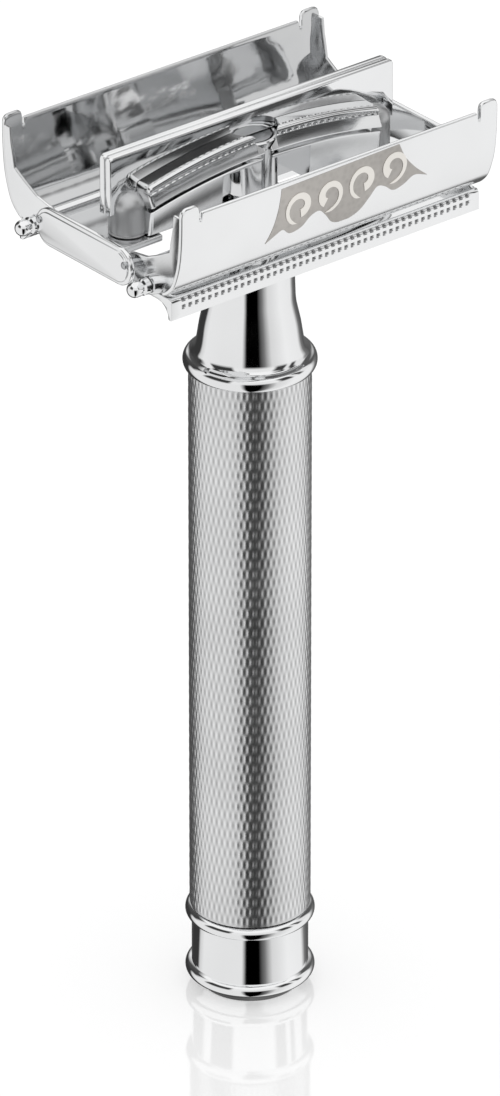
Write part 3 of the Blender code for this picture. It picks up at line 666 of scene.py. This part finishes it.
def flap_outline():
    """A door's end flap: an ear round the pin, a lobe round the peg and a narrow flange up the edge."""
    ear = arc((PIN_Y, PIN_Z), EAR_RADIUS, 110, 235, 12)
    lobe = arc((PEG_Y, PEG_Z), EAR_RADIUS, 200, 285, 8)
    back = [along_door(s, 0.3) for s in np.linspace(DOOR_LENGTH - 0.9, 1.1, 24)]
    flange = [(back[-1][0] - 1.1, back[-1][1]), (back[-1][0] - 1.25, 104.2), (back[-1][0] - 1.6, 102.6)]
    edge = smooth_line([(13.1, 101.4), (11.3, 100.4), (9.3, 99.45)], 4)
    return ear + lobe + back + flange + edge


def doors():
    """Each door: a curved sheet whose ends are bent in, with headed pegs at its lower corners."""
    stations = sorted({abs(p[0]) for p in TOP_EDGE[:-1]} | set(np.linspace(0, TAB_X - 0.7, 30)))
    stations = [(x, 0.0) for x in stations if x < DOOR_X - 0.2]
    for t in (0, 0.5, 0.9, 1.25, 1.5708):
        stations.append((DOOR_X - 0.2 + 0.2 * math.sin(t), 0.2 - 0.2 * math.cos(t)))
    marks = [(-x, inset) for x, inset in stations[:0:-1]] + stations
    for side, row in ((-1, "front"), (1, "rear")):
        loops = [[(x, side * y, z) for y, z in door_column(x, inset)] for x, inset in marks]
        door = skin(f"{row}_door_sheet", [loft(loops)], SHEET, 32)
        flaps = []
        for x_side in (-1, 1):
            outline = [(side * y, z) for y, z in flap_outline()]
            flap = rounded_prism(outline, "X", DOOR_X - 0.4, DOOR_X - 0.02, 0.08)
            flaps.append(skin("flap", [mirrored(flap, x_side)]))
        combine(door, "UNION", *flaps)
        # inward-facing faces take the darker copy of the chrome: painted shade
        door.data.materials.append(SHADED_INNER)
        for face in door.data.polygons:
            if face.normal.y * side < -0.25:
                face.material_index = 1
        fit(door, f"{row}_door", f"{row}_door")
        for x_side, label in ((-1, "left"), (1, "right")):
            node = f"{row}_{label}_door_peg"
            seat = DOOR_X + 0.03
            profile = [(0.3, seat - 0.55), (0.42, seat - 0.5), (0.42, seat), (PEG_R - 0.1, seat)]
            profile += [(PEG_R, seat + 0.1), (PEG_R, seat + 0.75), (PEG_R - 0.12, seat + 0.85)]
            profile += [(PEG_R - 0.24, seat + 0.95), (PEG_R - 0.24, seat + 1.15), (PEG_R - 0.06, seat + 1.25)]
            for t in (0.0, 0.3, 0.6, 0.9, 1.2, 1.45):
                profile.append((PEG_R - 0.06 - 0.8 * (1 - math.cos(t)), PEG_TIP - 0.8 * (1 - math.sin(t))))
            points, faces = loft(circles(profile, 40))
            turned = mirrored((laid_along_x(points, side * PEG_Y, PEG_Z), faces), x_side)
            fit(skin(f"{node}_headed", [turned], CHROME, 35), f"{row}_door", node)


# ------------------------------------------------------------ ornament on the front door


def door_shell(out):
    """A thin shell on the front door's outer face."""
    distances = np.linspace(0.6, 8.5, 40)
    section = [along_door(s, -out) for s in distances] + [along_door(s, 0.12) for s in distances[::-1]]
    return loft([[(x, -y, z) for y, z in section] for x in (-20.0, 21.0)])


def scroll_outline(centre, turn, flip):
    """A tapering volute with a round eye and an open tail, as a closed outline."""
    left, right = [], []
    steps = 44
    for i in range(steps + 1):
        t = i / steps
        angle = turn + flip * 2 * math.pi * VOLUTE_TURNS * t
        radius = VOLUTE_SIZE * (0.42 + 0.58 * t**1.25)
        here = Vector((centre[0] + radius * math.cos(angle), centre[1] + radius * math.sin(angle)))
        out = Vector((math.cos(angle), math.sin(angle)))
        half = VOLUTE_WIDTH / 2 * (1.25 - 0.85 * t) * (1.0 if t < 0.94 else (1.0 - t) / 0.06 + 0.05)
        left.append(tuple(here + out * half))
        right.append(tuple(here - out * half))
    return left + right[::-1]


def pressed(name, outlines, material, out):
    """Flat outlines in (x, z), laid on the front door's face."""
    blocks = [straight(outline, "Y", -17.0, -12.0) for outline in outlines]
    made = skin(name, [door_shell(out)], material, 30)
    return combine(made, "INTERSECT", skin("outline", blocks))


def ornament():
    """A satin patch with a scalloped lower edge and four raised volutes."""
    scallops = [
        (12.2, 100.7), (10.3, 101.3), (8.9, 100.6), (7.5, 100.3), (6.2, 101.2), (5.1, 101.5), (4.1, 100.4),
        (2.9, 99.1), (1.2, 98.5), (-0.6, 98.9), (-1.7, 100.1), (-2.8, 101.1), (-4.0, 100.8), (-5.1, 99.8),
        (-6.6, 99.5), (-7.7, 100.3), (-8.7, 99.9), (-9.9, 99.2),
    ]
    left = smooth_line([(-9.9, 99.2), (-9.0, 101.3), (-8.4, 103.6), (-8.1, 105.7)], 6)
    right = smooth_line([(8.0, 105.7), (8.9, 103.9), (10.4, 102.2), (12.2, 100.7)], 6)
    patch = smooth_line(scallops, 6)[:-1] + left[:-1] + right[:-1]
    fit(pressed("ornament_patch", [patch], ETCHED, 0.035), "front_door")
    places = ((-5.6, 102.5, 1), (-1.6, 102.6, -1), (3.1, 102.9, 1), (7.2, 103.3, -1))
    volutes = [scroll_outline((x, z), math.radians(-100 + 20 * flip), flip) for x, z, flip in places]
    fit(pressed("ornament_volutes", volutes, SCROLL, 0.09), "front_door")


handle_tube()
neck_collar()
twist_knob()
guard_plate()
for x_side, x_label in ((-1, "left"), (1, "right")):
    bed_rail(x_side, x_label)
    bed_post(x_side, x_label)
hub_post()
center_spine()
end_caps()
hinge_pins()
doors()
ornament()

for node, material in (
    ("rod_guide_bush", BRASS), ("knob_bearing_bush", BRASS), ("threaded_stem", BRASS),
    ("thrust_washer", STEEL), ("spring_washer", STEEL), ("retaining_clip", STEEL), ("drive_rod", STEEL),
):
    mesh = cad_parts[node].data
    mesh.materials.clear()
    mesh.materials.append(material)
    mesh.shade_smooth()
    mesh.set_sharp_from_angle(angle=math.radians(32))


# ------------------------------------------------------------ camera, light and floor

AZIMUTH, ELEVATION, DISTANCE = math.radians(-39.36), math.radians(27.78), 1.236
LENS = 373.625
flat = math.cos(ELEVATION)
view = Vector((-math.sin(AZIMUTH) * flat, math.cos(AZIMUTH) * flat, -math.sin(ELEVATION)))
target = Vector((0.0, 0.0, 0.05377))
camera = bpy.data.objects.new("camera", bpy.data.cameras.new("camera"))
bpy.context.scene.collection.objects.link(camera)
camera.location = target - DISTANCE * view
camera.rotation_euler = view.to_track_quat("-Z", "Y").to_euler()
camera.data.sensor_width = 36
camera.data.lens = LENS
bpy.context.scene.camera = camera
bpy.context.scene.view_settings.view_transform = "Standard"


# Brightness of the room by direction in degrees. 0 is towards the viewer.
LOW_BAND = (
    (-180, .12), (-150, .04), (-123, .04), (-117, .7), (-104, .88), (-60, .86), (-16, .86), (-8, 0),
    (18, 0), (30, .2), (45, .75), (80, .95), (122, .9), (136, .2), (150, .1), (180, .15),
)
HIGH_BAND = (
    (-180, .95), (-160, .9), (-150, .08), (-112, .04), (-101, .85), (-87, .9), (-81, .04), (-38, .04),
    (-31, .9), (20, .85), (48, .92), (57, .05), (75, .04), (80, .85), (87, .85), (91, .05), (98, .05),
    (104, .85), (122, .85), (130, .1), (150, .1), (165, .9), (180, .95),
)


def studio():
    """A white room with soft boxes and dark flags, so that the plating reflects both."""
    world = bpy.data.worlds.new("studio")
    bpy.context.scene.world = world
    world.use_nodes = True
    tree = world.node_tree
    tree.nodes.clear()

    def link(source, target_socket):
        tree.links.new(source, target_socket)

    place = node_of(tree, "ShaderNodeTexCoord")
    turn = node_of(tree, "ShaderNodeVectorRotate", rotation_type="Z_AXIS")
    turn.inputs["Angle"].default_value = math.radians(-90) - math.atan2(-view.y, -view.x)
    link(place.outputs["Generated"], turn.inputs["Vector"])
    axes = node_of(tree, "ShaderNodeSeparateXYZ")
    link(turn.outputs[0], axes.inputs[0])
    minus = node_of(tree, "ShaderNodeMath", {1: -1.0}, operation="MULTIPLY")
    link(axes.outputs["Y"], minus.inputs[0])
    round_it = node_of(tree, "ShaderNodeMath", operation="ARCTAN2")
    link(axes.outputs["X"], round_it.inputs[0])
    link(minus.outputs[0], round_it.inputs[1])
    share = node_of(tree, "ShaderNodeMapRange", {"From Min": -math.pi, "From Max": math.pi})
    link(round_it.outputs[0], share.inputs["Value"])

    def band(stops):
        ramp = node_of(tree, "ShaderNodeValToRGB")
        elements = ramp.color_ramp.elements
        elements.remove(elements[1])
        for i, (degrees, value) in enumerate(stops):
            position = (degrees + 180) / 360
            element = elements[0] if i == 0 else elements.new(position)
            element.position = position
            element.color = (value, value, value, 1)
        link(share.outputs[0], ramp.inputs[0])
        return ramp.outputs["Color"]

    low, high = band(LOW_BAND), band(HIGH_BAND)
    climb = node_of(tree, "ShaderNodeMath", operation="ARCSINE")
    link(axes.outputs["Z"], climb.inputs[0])

    def blend(first, second, start, end):
        share_up = node_of(tree, "ShaderNodeMapRange")
        share_up.inputs["From Min"].default_value = math.radians(start)
        share_up.inputs["From Max"].default_value = math.radians(end)
        link(climb.outputs[0], share_up.inputs["Value"])
        mix = node_of(tree, "ShaderNodeMixRGB")
        link(share_up.outputs[0], mix.inputs[0])
        for place_in, source in ((1, first), (2, second)):
            if isinstance(source, tuple):
                mix.inputs[place_in].default_value = source
            else:
                link(source, mix.inputs[place_in])
        return mix.outputs[0]

    around = blend(low, high, 6, 18)
    overhead = blend(around, (1.0, 1.0, 1.0, 1), 42, 50)
    rays = node_of(tree, "ShaderNodeLightPath")
    seen = node_of(tree, "ShaderNodeMixRGB")
    seen.inputs[1].default_value = (1.1, 1.1, 1.1, 1)
    link(rays.outputs["Is Glossy Ray"], seen.inputs[0])
    link(overhead, seen.inputs[2])
    background = node_of(tree, "ShaderNodeBackground")
    link(seen.outputs[0], background.inputs[0])
    out = node_of(tree, "ShaderNodeOutputWorld")
    link(background.outputs[0], out.inputs[0])


studio()
corners = [(-1500, -1500, 0), (1500, -1500, 0), (1500, 1500, 0), (-1500, 1500, 0)]
floor = skin("floor", [(corners, [(0, 1, 2, 3)])])
surface = bpy.data.materials.new("floor")
surface.use_nodes = True
paint = surface.node_tree.nodes["Principled BSDF"].inputs
for socket, value in (
    ("Base Color", (0.6, 0.6, 0.6, 1)), ("Roughness", 0.06), ("IOR", 2.1),
    ("Emission Color", (1, 1, 1, 1)), ("Emission Strength", 0.34),
):
    paint[socket].default_value = value
floor.data.materials.append(surface)
floor.visible_glossy = False

bpy.context.view_layer.update()
